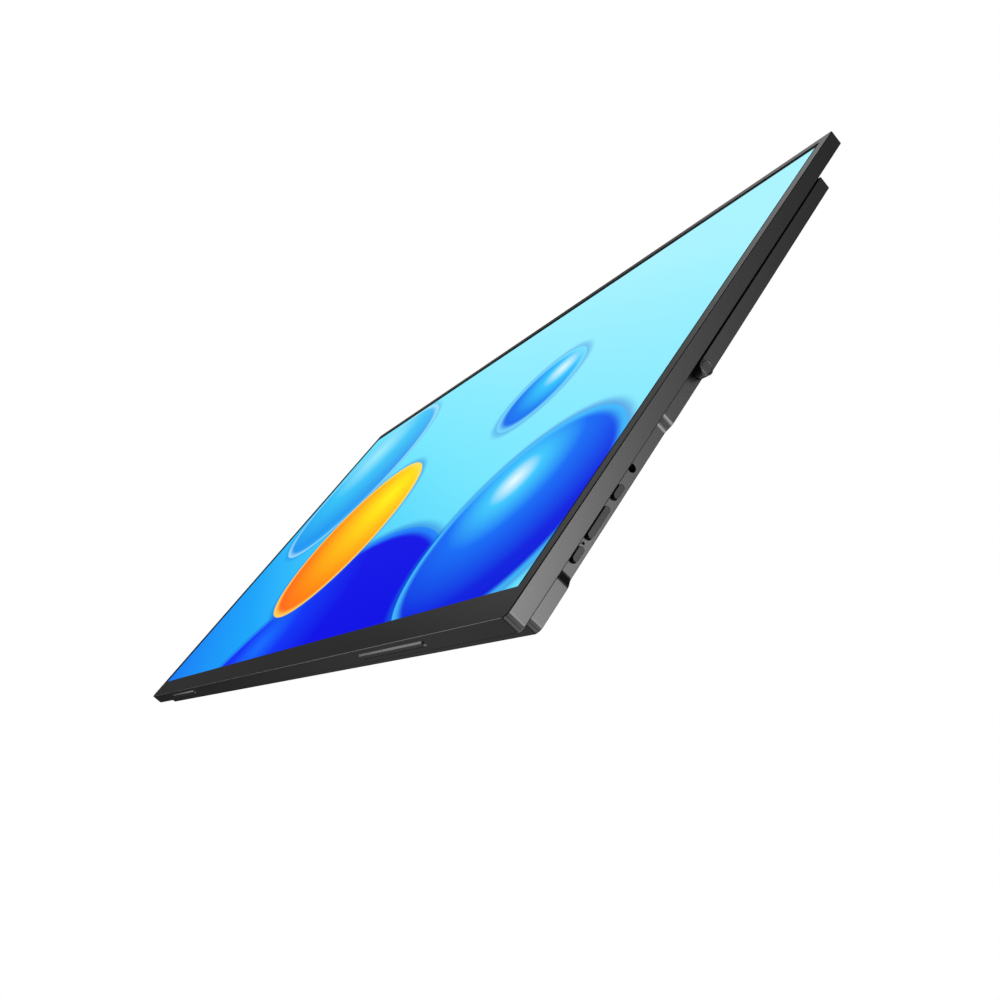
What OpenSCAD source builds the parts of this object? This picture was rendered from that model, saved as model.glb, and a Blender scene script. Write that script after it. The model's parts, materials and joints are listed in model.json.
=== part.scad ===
// Portable monitor: a slim screen slab, a housing for the electronics over the
// lower half of its back, and a U-shaped stand that folds flat around that housing.
// Millimetres. X runs to the right as seen from the front, the screen faces -Y, +Z is up.
// The origin is under the middle of the closed monitor, on the plane its feet stand on.
// Heights named *_z are measured from the underside of the slab.

/* [Screen] */
// Width of the lit picture
picture_w = 527; // [480:1:620]
// Height of the lit picture
picture_h = 296.5; // [290:0.5:350]
// Black border of the panel that shows at each side of the picture
border_side = 2; // [0:0.5:2.5]
// Black border that shows above the picture
border_top = 2; // [0:0.5:2.5]
// Bezel at each side of the screen
bezel_side = 5; // [4.5:0.5:10]
// Bezel above the screen
bezel_top = 6; // [6:0.5:10]
// Bezel below the screen
chin = 14.5; // [14:0.5:24]
// How far the chin laps over the panel's lower edge
chin_lap = 2; // [0:0.5:2]
// Thickness of the bezel lip, so the depth of the glass below the bezel
lip_t = 0.4; // [0.4:0.1:1.2]
// Corner radius of the bezel opening
opening_r = 1.5; // [0.5:0.5:3]

/* [Slab] */
// Thickness of the slab
slab_t = 8; // [7.8:0.1:12]
// Radius of the slab's lower corners
corner_low_r = 3; // [1:0.5:5]
// Radius of the slab's upper corners
corner_top_r = 1; // [0.5:0.5:5]
// Side wall of the slab's shell
side_wall = 1.4; // [1.2:0.1:1.6]
// Back of the slab's shell
back_t = 1; // [0.9:0.1:1.4]

/* [Panel layers] */
// Glass cell with its polarisers
cell_t = 1.2; // [0.8:0.1:1.4]
// Stack of diffuser and prism films
film_t = 0.6; // [0.3:0.1:0.8]
// Light guide plate
guide_t = 2; // [1.5:0.1:2.2]
// White reflector sheet
reflector_t = 0.3; // [0.2:0.1:0.4]
// Sheet steel of the panel tray
tray_t = 0.6; // [0.4:0.1:0.7]
// How far the panel runs on around the picture
panel_rim = 4.2; // [3.4:0.1:4.2]

/* [Rear housing] */
// Ledge left free on the slab at each side of the housing
ledge_side = 4.8; // [4.8:0.1:6]
// Ledge left free on the slab below the housing
ledge_low = 6.6; // [4:0.2:8]
// Height of the housing
housing_h = 141.7; // [141:0.1:160]
// How far the housing stands out from the slab
housing_t = 7.4; // [7.4:0.1:9]
// Side wall of the housing
housing_wall = 1.4; // [1.2:0.1:1.6]
// Rear wall of the housing
skin_t = 1.4; // [1.3:0.1:1.6]
// Radius of the housing's lower corners
housing_low_r = 2.7; // [1:0.1:4]
// Radius of the housing's upper corners
housing_top_r = 1; // [0.5:0.1:2]

/* [Key recess] */
// Depth of the recess that the keys stand in
recess_depth = 2; // [1:0.1:2.2]
// Height at which the recess starts
recess_low_z = 26.5; // [20:0.5:30]
// Distance of the recess's upper end below the housing's upper edge
recess_drop = 34.3; // [34.3:0.5:46]
// Length of the curved ramp at each end of the recess
ramp_len = 5.5; // [3:0.5:8]

/* [Keys] */
// Distance of the row of keys from the slab's back
key_row = 3.8; // [3.6:0.1:4.2]
// Width of a key
key_w = 2.8; // [2:0.1:3]
// Height of the keys above the floor of the recess
key_proud = 1.7; // [0.5:0.1:1.9]
// Gap around a key in its slot
key_gap = 0.25; // [0.2:0.05:0.4]
// Travel of a key when it is pressed
key_travel = 0.4; // [0.2:0.1:0.5]
// Lower end of the power key
power_z = 36.8; // [36:0.1:38]
// Length of the power key
power_len = 6.8; // [5:0.1:7]
// Lower end of the rocker key
rocker_z = 48.2; // [47.5:0.1:49]
// Length of the rocker key
rocker_len = 15.6; // [12:0.1:17]
// Lower end of the back key
back_key_z = 68.6; // [67.5:0.1:70]
// Length of the back key
back_key_len = 6.8; // [5:0.1:8]
// Height of the status light
led_z = 45.8; // [45.4:0.1:46]
// Radius of the pinhole for the status light
led_r = 0.5; // [0.4:0.05:0.6]
// Height of the headphone jack
jack_z = 85.2; // [84:0.2:87]
// Distance of the headphone jack's axis from the slab's back
jack_row = 3.6; // [3.5:0.1:3.8]
// Radius of the headphone jack's bore
jack_r = 1.8; // [1.75:0.05:1.85]

/* [Ports] */
// Height of the middle of the video port
video_z = 46.2; // [42:0.2:48]
// Length of the video port
video_w = 14; // [13.8:0.1:14.4]
// Width of the video port
video_h = 5; // [4.8:0.1:5.2]
// Height of the middle of the lower data port
data_z = 66.1; // [63:0.1:68]
// Distance between the two data ports
data_pitch = 17.6; // [14:0.2:20]
// Length of a data port
data_w = 9; // [8.6:0.1:9.4]
// Width of a data port
data_h = 3.2; // [3:0.1:3.4]
// Sheet metal of the port shells
port_shell_t = 0.35; // [0.25:0.05:0.45]
// Lower end of the pocket in the ledge beside the video port
pocket_z = 35.5; // [34:0.5:37]
// Length of the pocket
pocket_len = 21.7; // [19:0.1:24]
// Depth of the pocket
pocket_depth = 0.85; // [0.4:0.05:0.9]

/* [Stand] */
// Width of an arm of the stand
arm_w = 4.5; // [3.5:0.1:4.5]
// Thickness of the stand
arm_t = 7; // [6:0.1:7]
// Gap between the closed stand and the slab
stand_gap = 0.4; // [0.3:0.05:0.8]
// Height of the cross bar
bar_h = 5.1; // [4:0.1:8]
// Height of the stand's upper edge
stand_top_z = 285.5; // [260:0.5:290]
// Distance of the stand's pivot below the housing's upper edge
pivot_drop = 5.8; // [4.6:0.1:7.2]

/* [Hinges] */
// Radius of a hinge pin
pin_r = 1.5; // [1.2:0.05:1.6]
// Running clearance around a hinge pin
pin_fit = 0.05; // [0.03:0.01:0.08]
// Outer radius of a hinge knuckle
knuckle_r = 2.6; // [2.3:0.1:2.7]
// Length of a hinge knuckle
knuckle_len = 19.7; // [16:0.1:21]
// Thickness of a hinge leaf
leaf_t = 1.2; // [1:0.1:1.5]
// Distance of a hinge leaf's lower end below the pivot
leaf_len = 25.5; // [24:0.5:26.5]
// Radius of a hinge cap
cap_r = 3.5; // [3:0.1:3.5]
// How far a hinge cap stands out from the arm
cap_proud = 0.6; // [0.3:0.1:1]

/* [Mounting holes] */
// Distance between the mounting holes, both ways
mount_pitch = 75; // [50:5:85]
// Height of the lower mounting holes
mount_z = 49.9; // [46:0.1:56]
// Radius of a mounting hole
mount_r = 2; // [1.9:0.05:2.1]
// Outer radius of a brass insert
insert_r = 3; // [2.6:0.1:3.2]
// Length of a brass insert
insert_len = 5; // [4:0.5:5.5]

/* [Feet] */
// Length of a rubber foot
foot_len = 63; // [40:1:80]
// Width of a rubber foot
foot_w = 3.2; // [2.4:0.1:4]
// How far a foot stands out of the slab
foot_proud = 0.7; // [0.4:0.1:1.2]
// Distance of a foot from the side of the slab
foot_inset = 63; // [40:1:80]

/* [Hidden] */
$fn = 48;

// Small amounts that cuts and joints use
cut = 0.5;
clearance = 0.3;
slip = 0.05;
inner_r = 0.4;

// Slab
screen_half_w = picture_w / 2 + border_side;
picture_low = chin - chin_lap;
screen_high = picture_low + picture_h + border_top;
slab_w = 2 * (screen_half_w + bezel_side);
slab_h = screen_high + bezel_top;
half_w = slab_w / 2;
back_in_y = slab_t - back_t;
rib_t = 0.8;
rib_h = 1;
rib_gap = 0.1;

// Layers behind the bezel lip, counted from the glass backwards
films_y = lip_t + cell_t;
guide_y = films_y + film_t;
reflector_y = guide_y + guide_t;
tray_y = reflector_y + reflector_t;
tray_back_y = tray_y + tray_t;
panel_half_w = picture_w / 2 + panel_rim;
panel_low = picture_low - panel_rim;
panel_high = picture_low + picture_h + panel_rim;
led_board_t = 0.8;
led_h = 1;
led_air = 0.2;
tray_low = panel_low - led_air - led_h - led_board_t;
led_w = 3;
led_d = 1.4;
led_pitch = 12;
tape_w = 8;
tape_low = 30;
tape_margin = 14;
tape_x = [120, 215];

// Source board behind the tray's lower edge, and the flexes around that edge
board_t = 1;
source_inset = 32.6;
source_half_w = panel_half_w - source_inset;
source_h = 10;
source_t = 0.8;
source_chip_t = 0.5;
source_chip_w = 12;
source_chip_h = 4;
source_chip_inset = 45.1;
source_chip_pitch = (source_half_w - source_chip_inset) / 2;
flex_t = 0.15;
flex_w = 24;
flex_pitch = 76;
flex_count = 6;
flex_bond_y = lip_t + cell_t / 2;
flex_low = tray_low - tray_t - 2 * flex_t;
source_low = tray_low;

// Housing
house_x = half_w - ledge_side;
house_low = ledge_low;
house_high = ledge_low + housing_h;
rear_y = slab_t + housing_t;
skin_in_y = rear_y - skin_t;
house_in_x = house_x - housing_wall;
recess_high_z = house_high - recess_drop;
recess_x = house_x - recess_depth;
recess_in_x = recess_x - housing_wall;
ramp_steps = 10;
ramp_shift = 0.6;

// Boards lie on low posts on the slab's back
post_h = 0.6;
post_r = 2.4;
board_y = slab_t + post_h;
board_top_y = board_y + board_t;
main_x = -(house_in_x - clearance);
main_w = 92;
main_low = 32;
main_h = 72;
main_inset = 4;
key_board_w = 14;
key_board_gap = 4;
key_board_x = recess_in_x - key_board_gap;
key_board_low = power_z - main_inset;
key_board_high = jack_z + key_board_w;
key_screw_inset = 3.2;

// Parts on the main board: a shield can over its processor, and a row of coils
can_w = 45;
can_h = 38;
can_t = 2.2;
can_wall = 0.3;
can_x = main_x + 29;
can_z = main_low + 24;
chip_w = 14;
chip_t = 1.3;
chip_x = can_x + (can_w - chip_w) / 2;
chip_z = can_z + (can_h - chip_w) / 2;
coil_count = 3;
coil_h = 1.6;
coil_w = 6;
coil_pitch = 9;
coil_x = main_x + 18;
coil_z = main_low + 8;

// Ribbons
ribbon_t = 0.3;
ribbon_w = 26;
ribbon_x = main_x + 36;
slot_z = 23;
slot_half = 0.6;
plug_h = 1;
plug_d = 4;
key_ribbon_w = 6;
key_ribbon_z = 58;

// Ports
video_row = 4.1;
data_row = 3.8;
video_len = 12;
data_len = 7.5;
video_y = slab_t + video_row;
data_y = slab_t + data_row;
video_shoulder_y = -0.9;
video_step = 0.5;
video_neck_w = 11.5;
video_foot_w = 10.2;
video_tongue_w = 10.9;
video_tongue_t = 0.9;
video_tongue_rise = 0.5;
data_tongue_w = 6.7;
data_tongue_t = 0.7;
tongue_back = 2;
tongue_set = 0.8;
port_gap = 0.1;

// Keys
key_y = slab_t + key_row;
key_r = key_w / 2;
key_face_x = recess_x + key_proud;
flange_t = 0.8;
flange_rim = 0.6;
flange_x = recess_in_x - clearance - flange_t;
switch_gap = 0.1;
plunger_x = flange_x - key_travel - switch_gap;
plunger_len = 1.4;
plunger_w = 1.4;
switch_d = 3.8;
switch_w = 4.6;
switch_x = plunger_x - plunger_len;
rocker_mid_z = rocker_z + rocker_len / 2;
rocker_arm = 4.8;
switch_zs = [power_z + power_len / 2, rocker_mid_z - rocker_arm, rocker_mid_z + rocker_arm,
             back_key_z + back_key_len / 2];
fulcrum_w = 2;
led_body = 2;
jack_y = slab_t + jack_row;
jack_len = 13;
jack_wall = 1.2;
jack_body_half = 3;

// Stand and hinges
arm_y = slab_t + stand_gap;
arm_rear_y = arm_y + arm_t;
pivot_y = arm_y + arm_t / 2;
pivot_z = house_high - pivot_drop;
leaf_z = pivot_z - leaf_len;
arm_in_x = half_w - arm_w;
depth = max(rear_y, arm_rear_y);
knuckle_x = house_in_x - clearance - knuckle_len;
knuckle_end_x = house_in_x - clearance;
web_half = knuckle_r;
washer_t = 0.6;
washer_r = 2.4;
washer_count = 3;
washer_gap = 0.1;
washer_x = knuckle_x - washer_gap - washer_count * washer_t;
nut_t = 2;
nut_r = 2.5;
nut_x = washer_x - nut_t;
pin_x = nut_x - cut;
press_gap = 0.02;
cap_stem = 1.3;
cap_stem_r = pin_r - press_gap;
cap_edge = 0.15;
groove_r = 2.5;
groove_w = 0.3;
groove_d = 0.15;
pocket_r = knuckle_r + 0.2;
pin_hole_r = pin_r + clearance;
pad_y = tray_back_y + clearance;

// Screws
screw_r = 0.95;
screw_hole = 1.05;
head_r = 1.7;
head_t = 0.7;
boss_r = 2.6;
house_screw_len = 5;
board_screw_len = 2.3;
hinge_screw_len = leaf_t + slab_t - pad_y - clearance;
chip_screw_gap = 15;
house_screw_x = source_chip_pitch - chip_screw_gap;
house_screw_z = 9.4;
house_low_screw_x = house_x - 25.7;
house_high_screw_x = knuckle_x - 44;
house_screws = concat(
    [for (x = [-house_low_screw_x, -house_screw_x, house_screw_x, house_low_screw_x])
        [x, house_low + house_screw_z]],
    [for (x = [-house_high_screw_x, -house_screw_x, house_screw_x, house_high_screw_x])
        [x, house_high - house_screw_z]]);
leaf_mid_x = (knuckle_x + knuckle_end_x) / 2;
leaf_hole_dx = 5;
leaf_hole_dz = 3;
leaf_upper_dz = 14;
leaf_screws = [[leaf_mid_x - leaf_hole_dx, leaf_z + leaf_hole_dz],
               [leaf_mid_x + leaf_hole_dx, leaf_z + leaf_hole_dz],
               [leaf_mid_x, leaf_z + leaf_upper_dz]];
main_screws = [[main_x + main_inset, main_low + main_inset],
               [main_x + main_w - main_inset, main_low + main_inset],
               [main_x + main_inset, main_low + main_h - main_inset],
               [main_x + main_w - main_inset, main_low + main_h - main_inset]];
key_screw_x = key_board_x - key_board_w + key_screw_inset;
key_screws = [[key_screw_x, key_board_low + key_screw_inset],
              [key_screw_x, key_board_high - key_screw_inset]];
board_screws_at = concat(main_screws, key_screws);

// Mounting plate and inserts
plate_t = 1.2;
plate_margin = 16;
mount_half = mount_pitch / 2;
flange_extra = 0.9;
insert_flange_t = 0.8;
mounts = [[-mount_half, mount_z], [mount_half, mount_z],
          [-mount_half, mount_z + mount_pitch], [mount_half, mount_z + mount_pitch]];

// Feet
foot_sink = 0.6;
foot_y = slab_t / 2;
foot_x = half_w - foot_inset - foot_len;

// Colours
charcoal = "#4a4a4a";
dark = "#1c1c1e";
steel = "#a9abb0";
board_green = "#20553a";

// Moves a piece from the slab's own frame to the part's frame
module place() {
    translate([0, -depth / 2, foot_proud]) children();
}

// A block between three pairs of limits
module block(x0, x1, y0, y1, z0, z1) {
    translate([x0, y0, z0]) cube([x1 - x0, y1 - y0, z1 - z0]);
}

// Extrudes an (x, z) outline along Y
module along_y(y0, y1) {
    translate([0, y1, 0]) rotate([90, 0, 0]) linear_extrude(y1 - y0) children();
}

// Extrudes a (y, z) outline along X
module along_x(x0, x1) {
    translate([x0, 0, 0]) rotate([90, 0, 90]) linear_extrude(x1 - x0) children();
}

// Extrudes an (x, y) outline along Z
module along_z(z0, z1) {
    translate([0, 0, z0]) linear_extrude(z1 - z0) children();
}

// A round bar along Y at (x, z), and one along X at (y, z)
module rod_y(x, z, r, y0, y1) {
    translate([x, y1, z]) rotate([90, 0, 0]) cylinder(r = r, h = y1 - y0);
}

module rod_x(y, z, r, x0, x1) {
    translate([x0, y, z]) rotate([0, 90, 0]) cylinder(r = r, h = x1 - x0);
}

module mirror_pair() {
    children();
    mirror([1, 0, 0]) children();
}

module rect(u0, u1, v0, v1) {
    translate([u0, v0]) square([u1 - u0, v1 - v0]);
}

// A rectangle with one radius at its lower corners and one at its upper corners
module outline(u0, u1, v0, v1, low_r, top_r) {
    rect(u0, u1, v0 + low_r, v1 - top_r);
    rect(u0 + low_r, u1 - low_r, v0, v0 + low_r);
    rect(u0 + top_r, u1 - top_r, v1 - top_r, v1);
    for (u = [u0 + low_r, u1 - low_r]) translate([u, v0 + low_r]) circle(low_r);
    for (u = [u0 + top_r, u1 - top_r]) translate([u, v1 - top_r]) circle(top_r);
}

// A pill standing up from v0 to v1, or lying down from u0 to u1
module pill(u, v0, v1, r) {
    rect(u - r, u + r, v0 + r, v1 - r);
    for (v = [v0 + r, v1 - r]) translate([u, v]) circle(r);
}

module pill_flat(u0, u1, v, r) {
    rect(u0 + r, u1 - r, v - r, v + r);
    for (u = [u0 + r, u1 - r]) translate([u, v]) circle(r);
}

module slab_outline(inset = 0) {
    outline(-half_w + inset, half_w - inset, inset, slab_h - inset,
            max(corner_low_r - inset, inner_r), max(corner_top_r - inset, inner_r));
}

// The part of the housing's right side that the recess takes away
function ramp(t) = (1 - cos(180 * t)) / 2;
module recess_outline(inset = 0) {
    x = house_x - inset;
    low = recess_low_z - (inset > 0 ? ramp_shift : 0);
    high = recess_high_z + (inset > 0 ? ramp_shift : 0);
    up = [for (i = [0:ramp_steps])
        [x - recess_depth * ramp(i / ramp_steps), low + ramp_len * i / ramp_steps]];
    down = [for (i = [0:ramp_steps])
        [x - recess_depth * ramp(1 - i / ramp_steps), high - ramp_len * (1 - i / ramp_steps)]];
    polygon(concat(up, down, [[house_x + cut, high], [house_x + cut, low]]));
}

module housing_outline(inset = 0) {
    difference() {
        outline(-house_x + inset, house_x - inset, house_low + inset, house_high - inset,
                max(housing_low_r - inset, inner_r), max(housing_top_r - inset, inner_r));
        recess_outline(inset);
    }
}

// Stepped outline of the video port, drawn in (y, z) about its middle
module video_outline(grow = 0) {
    w = video_w / 2 + grow;
    h = video_h / 2 + grow;
    shoulder = video_shoulder_y - grow / 2;
    neck = video_neck_w / 2 + grow / 2;
    foot = video_foot_w / 2 + grow / 2;
    polygon([[h, -w], [h, w], [shoulder, w], [shoulder - video_step, neck], [-h, foot],
             [-h, -foot], [shoulder - video_step, -neck], [shoulder, -w]]);
}

module data_outline(grow = 0) {
    pill(0, -data_w / 2 - grow, data_w / 2 + grow, data_h / 2 + grow);
}

module at_video() {
    translate([video_y, video_z]) children();
}

module at_data() {
    for (i = [0, 1]) translate([data_y, data_z + i * data_pitch]) children();
}

module front_frame() {
    color(charcoal) place() difference() {
        union() {
            along_y(0, lip_t) slab_outline();
            along_y(lip_t, lip_t + rib_h) difference() {
                slab_outline(side_wall + rib_gap);
                slab_outline(side_wall + rib_gap + rib_t);
            }
        }
        along_y(-cut, lip_t + cut)
            outline(-screen_half_w, screen_half_w, chin, screen_high, opening_r, opening_r);
    }
}

// Unibody tray: walls, back, pads behind the hinges and the pocket, posts for the boards
module rear_cover() {
    color(charcoal) place() difference() {
        union() {
            along_y(lip_t, slab_t) difference() {
                slab_outline();
                slab_outline(side_wall);
            }
            along_y(back_in_y, slab_t) slab_outline();
            mirror_pair() block(knuckle_x, knuckle_end_x, pad_y, back_in_y, leaf_z, pivot_z);
            block(-half_w + side_wall / 2, -house_x + housing_wall, back_in_y - pocket_depth,
                  back_in_y, pocket_z - side_wall, pocket_z + pocket_len + side_wall);
            for (p = board_screws_at) rod_y(p[0], p[1], post_r, slab_t, board_y);
        }
        block(-half_w - cut, -house_x, slab_t - pocket_depth, slab_t + cut,
              pocket_z, pocket_z + pocket_len);
        mirror_pair() along_z(-cut, foot_sink) foot_outline();
        for (p = house_screws) rod_y(p[0], p[1], screw_hole, back_in_y - cut, slab_t + cut);
        for (p = board_screws_at) rod_y(p[0], p[1], screw_r + slip, back_in_y - cut, board_y + cut);
        mirror_pair() for (p = leaf_screws)
            rod_y(p[0], p[1], screw_r + slip, pad_y - cut, slab_t + cut);
        block(ribbon_x - clearance, ribbon_x + ribbon_w + clearance, back_in_y - cut, slab_t + cut,
              slot_z - slot_half, slot_z + slot_half);
    }
}

module rear_housing() {
    color(charcoal) place() difference() {
        union() {
            difference() {
                along_y(slab_t, rear_y) housing_outline();
                along_y(slab_t - cut, skin_in_y) housing_outline(housing_wall);
            }
            for (p = house_screws) rod_y(p[0], p[1], boss_r, slab_t, skin_in_y);
        }
        for (p = house_screws)
            rod_y(p[0], p[1], screw_r + slip, slab_t - cut, slab_t + house_screw_len);
        along_x(-house_x - cut, -house_in_x + cut) {
            at_video() video_outline(port_gap);
            at_data() data_outline(port_gap);
        }
        along_x(-house_in_x - cut, -house_x + video_len + port_gap) at_video()
            video_outline(port_gap);
        along_x(recess_in_x - cut, recess_x + cut) {
            for (k = [[power_z, power_len], [rocker_z, rocker_len], [back_key_z, back_key_len]])
                pill(key_y, k[0] - key_gap, k[0] + k[1] + key_gap, key_r + key_gap);
        }
        rod_x(jack_y, jack_z, jack_r + slip, recess_in_x - cut, recess_x + cut);
        rod_x(key_y, led_z, led_r, recess_in_x - cut, recess_x + cut);
        for (p = mounts) rod_y(p[0], p[1], insert_r + press_gap, skin_in_y - cut, rear_y + cut);
        mirror_pair() {
            rod_x(pivot_y, pivot_z, pocket_r, pin_x - clearance, house_in_x);
            rod_x(pivot_y, pivot_z, pin_hole_r, house_in_x - cut, house_x + cut);
        }
    }
}

module panel_sheet(y0, y1) {
    along_y(y0, y1) rect(-panel_half_w, panel_half_w, panel_low, panel_high);
}

module lcd_cell() {
    color("#0a0c12") place() panel_sheet(lip_t, films_y);
}

module optical_films() {
    color("#eef2f5") place() panel_sheet(films_y, guide_y);
}

module light_guide() {
    color("#dff0f8") place() panel_sheet(guide_y, reflector_y);
}

module reflector() {
    color("#ffffff") place() panel_sheet(reflector_y, tray_y);
}

module panel_tray() {
    color(steel) place() {
        along_y(tray_y, tray_back_y)
            rect(-panel_half_w - tray_t, panel_half_w + tray_t, tray_low - tray_t, panel_high + tray_t);
        along_y(films_y, tray_y) difference() {
            rect(-panel_half_w - tray_t, panel_half_w + tray_t,
                 tray_low - tray_t, panel_high + tray_t);
            rect(-panel_half_w, panel_half_w, tray_low, panel_high);
        }
    }
}

module led_strip() {
    count = floor((2 * panel_half_w - led_pitch) / led_pitch / 2);
    color("#f3e9a8") place() {
        block(-panel_half_w + led_w, panel_half_w - led_w, guide_y, reflector_y,
              tray_low, tray_low + led_board_t);
        for (i = [-count:count])
            block(i * led_pitch - led_w / 2, i * led_pitch + led_w / 2,
                  guide_y + (guide_t - led_d) / 2, guide_y + (guide_t + led_d) / 2,
                  tray_low + led_board_t, tray_low + led_board_t + led_h);
    }
}

module panel_tape() {
    color(dark) place() mirror_pair() for (x = tape_x)
        block(x, x + tape_w, tray_back_y, back_in_y, tape_low, slab_h - tape_margin);
}

module source_board() {
    color(board_green) place() {
        block(-source_half_w, source_half_w, tray_back_y, tray_back_y + source_t,
              source_low, source_low + source_h);
        for (i = [-2:2]) {
            x = i * source_chip_pitch;
            block(x - source_chip_w / 2, x + source_chip_w / 2, tray_back_y + source_t,
                  tray_back_y + source_t + source_chip_t,
                  source_low + source_chip_h, source_low + 2 * source_chip_h);
        }
    }
}

// Each flex leaves the cell's lower edge, turns under the tray and ends on the source board
module cell_flexes() {
    color("#b8762c") place() for (i = [0:flex_count - 1]) {
        x = (i - (flex_count - 1) / 2) * flex_pitch;
        block(x - flex_w / 2, x + flex_w / 2, flex_bond_y, flex_bond_y + flex_t,
              flex_low, panel_low);
        block(x - flex_w / 2, x + flex_w / 2, flex_bond_y, tray_back_y + 2 * flex_t,
              flex_low, flex_low + flex_t);
        block(x - flex_w / 2, x + flex_w / 2, tray_back_y + flex_t, tray_back_y + 2 * flex_t,
              flex_low, source_low);
    }
}

// Ribbon from the source board, through the slot in the slab's back, to the main board
module display_flex() {
    y0 = tray_back_y + source_t;
    y1 = board_top_y + plug_h / 2;
    color("#b8762c") place() {
        block(ribbon_x, ribbon_x + ribbon_w, y0, y0 + ribbon_t, source_low + source_h / 2,
              slot_z + ribbon_t);
        block(ribbon_x, ribbon_x + ribbon_w, y0, y1 + ribbon_t, slot_z, slot_z + ribbon_t);
        block(ribbon_x, ribbon_x + ribbon_w, y1, y1 + ribbon_t, slot_z, main_low + ribbon_t);
    }
}

module main_board() {
    color(board_green) place() difference() {
        union() {
            block(main_x, main_x + main_w, board_y, board_top_y, main_low, main_low + main_h);
            block(ribbon_x, ribbon_x + ribbon_w, board_top_y, board_top_y + plug_h,
                  main_low + ribbon_t, main_low + ribbon_t + plug_d);
            block(main_x + main_w - plug_d - ribbon_t, main_x + main_w - ribbon_t,
                  board_top_y, board_top_y + plug_h,
                  key_ribbon_z, key_ribbon_z + key_ribbon_w);
            for (i = [0:coil_count - 1]) {
                x = coil_x + i * coil_pitch;
                block(x, x + coil_w, board_top_y, board_top_y + coil_h, coil_z, coil_z + coil_w);
            }
        }
        for (p = main_screws) rod_y(p[0], p[1], screw_hole, board_y - cut, board_top_y + cut);
    }
}

module main_chip() {
    color(dark) place()
        block(chip_x, chip_x + chip_w, board_top_y, board_top_y + chip_t, chip_z, chip_z + chip_w);
}

module shield_can() {
    color("#c8cace") place() difference() {
        block(can_x, can_x + can_w, board_top_y, board_top_y + can_t, can_z, can_z + can_h);
        block(can_x + can_wall, can_x + can_w - can_wall, board_top_y - cut,
              board_top_y + can_t - can_wall, can_z + can_wall, can_z + can_h - can_wall);
    }
}

module video_port_shell() {
    color("#d0d2d4") place() along_x(-house_x, -house_x + video_len) at_video() difference() {
        video_outline();
        video_outline(-port_shell_t);
    }
}

module video_port_tongue() {
    color(dark) place() {
        along_x(-house_x + video_len - tongue_back, -house_x + video_len)
            at_video() video_outline(-port_shell_t);
        block(-house_x + tongue_set, -house_x + video_len - tongue_back,
              video_y + video_tongue_rise - video_tongue_t / 2,
              video_y + video_tongue_rise + video_tongue_t / 2,
              video_z - video_tongue_w / 2, video_z + video_tongue_w / 2);
    }
}

module data_port_shells() {
    color("#d0d2d4") place() {
        along_x(-house_x, -house_x + data_len) at_data() difference() {
            data_outline();
            data_outline(-port_shell_t);
        }
        for (i = [0, 1]) block(main_x + port_gap, -house_x + data_len, board_top_y,
            data_y - data_h / 2 + slip, data_z + i * data_pitch - data_w / 4,
            data_z + i * data_pitch + data_w / 4);
    }
}

module data_port_tongues() {
    color(dark) place() {
        along_x(-house_x + data_len - tongue_back, -house_x + data_len)
            at_data() data_outline(-port_shell_t);
        for (i = [0, 1]) block(-house_x + tongue_set, -house_x + data_len - tongue_back,
            data_y - data_tongue_t / 2, data_y + data_tongue_t / 2,
            data_z + i * data_pitch - data_tongue_w / 2,
            data_z + i * data_pitch + data_tongue_w / 2);
    }
}

module mount_plate() {
    color(steel) place() difference() {
        block(-mount_half - plate_margin, mount_half + plate_margin, skin_in_y - plate_t, skin_in_y,
              mount_z - plate_margin, min(mount_z + mount_pitch + plate_margin,
              house_high - housing_wall - clearance));
        for (p = mounts)
            rod_y(p[0], p[1], insert_r + press_gap, skin_in_y - plate_t - cut, skin_in_y + cut);
    }
}

module mount_inserts() {
    color("#c9a24a") place() for (p = mounts) difference() {
        union() {
            rod_y(p[0], p[1], insert_r, rear_y - insert_len, rear_y);
            rod_y(p[0], p[1], insert_r + flange_extra, skin_in_y - plate_t - insert_flange_t,
                  skin_in_y - plate_t);
        }
        rod_y(p[0], p[1], mount_r, rear_y - insert_len - cut, rear_y + cut);
    }
}

module key_board() {
    color(board_green) place() difference() {
        union() {
            block(key_board_x - key_board_w, key_board_x, board_y, board_top_y,
                  key_board_low, key_board_high);
            block(key_board_x - key_board_w + ribbon_t, key_board_x - key_board_w + ribbon_t + plug_d,
                  board_top_y, board_top_y + plug_h, key_ribbon_z, key_ribbon_z + key_ribbon_w);
        }
        for (p = key_screws) rod_y(p[0], p[1], screw_hole, board_y - cut, board_top_y + cut);
    }
}

module key_switches() {
    color("#8f9296") place() for (z = switch_zs) {
        block(switch_x - switch_d, switch_x, board_top_y, key_y + key_r + slip,
              z - switch_w / 2, z + switch_w / 2);
        block(switch_x, plunger_x, key_y - plunger_w / 2, key_y + plunger_w / 2,
              z - plunger_w / 2, z + plunger_w / 2);
    }
}

// Flat ribbon along the slab's back between the two boards
module key_flex() {
    x0 = main_x + main_w;
    x1 = key_board_x - key_board_w;
    y1 = board_top_y + plug_h / 2;
    color("#b8762c") place() {
        block(x0 + clearance, x1 - clearance, slab_t, slab_t + ribbon_t,
              key_ribbon_z, key_ribbon_z + key_ribbon_w);
        for (x = [x0 + clearance, x1 - clearance - ribbon_t])
            block(x, x + ribbon_t, slab_t, y1 + ribbon_t, key_ribbon_z, key_ribbon_z + key_ribbon_w);
        block(x0 - ribbon_t, x0 + clearance, y1, y1 + ribbon_t,
              key_ribbon_z, key_ribbon_z + key_ribbon_w);
        block(x1 - clearance, x1 + ribbon_t, y1, y1 + ribbon_t,
              key_ribbon_z, key_ribbon_z + key_ribbon_w);
    }
}

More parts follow.
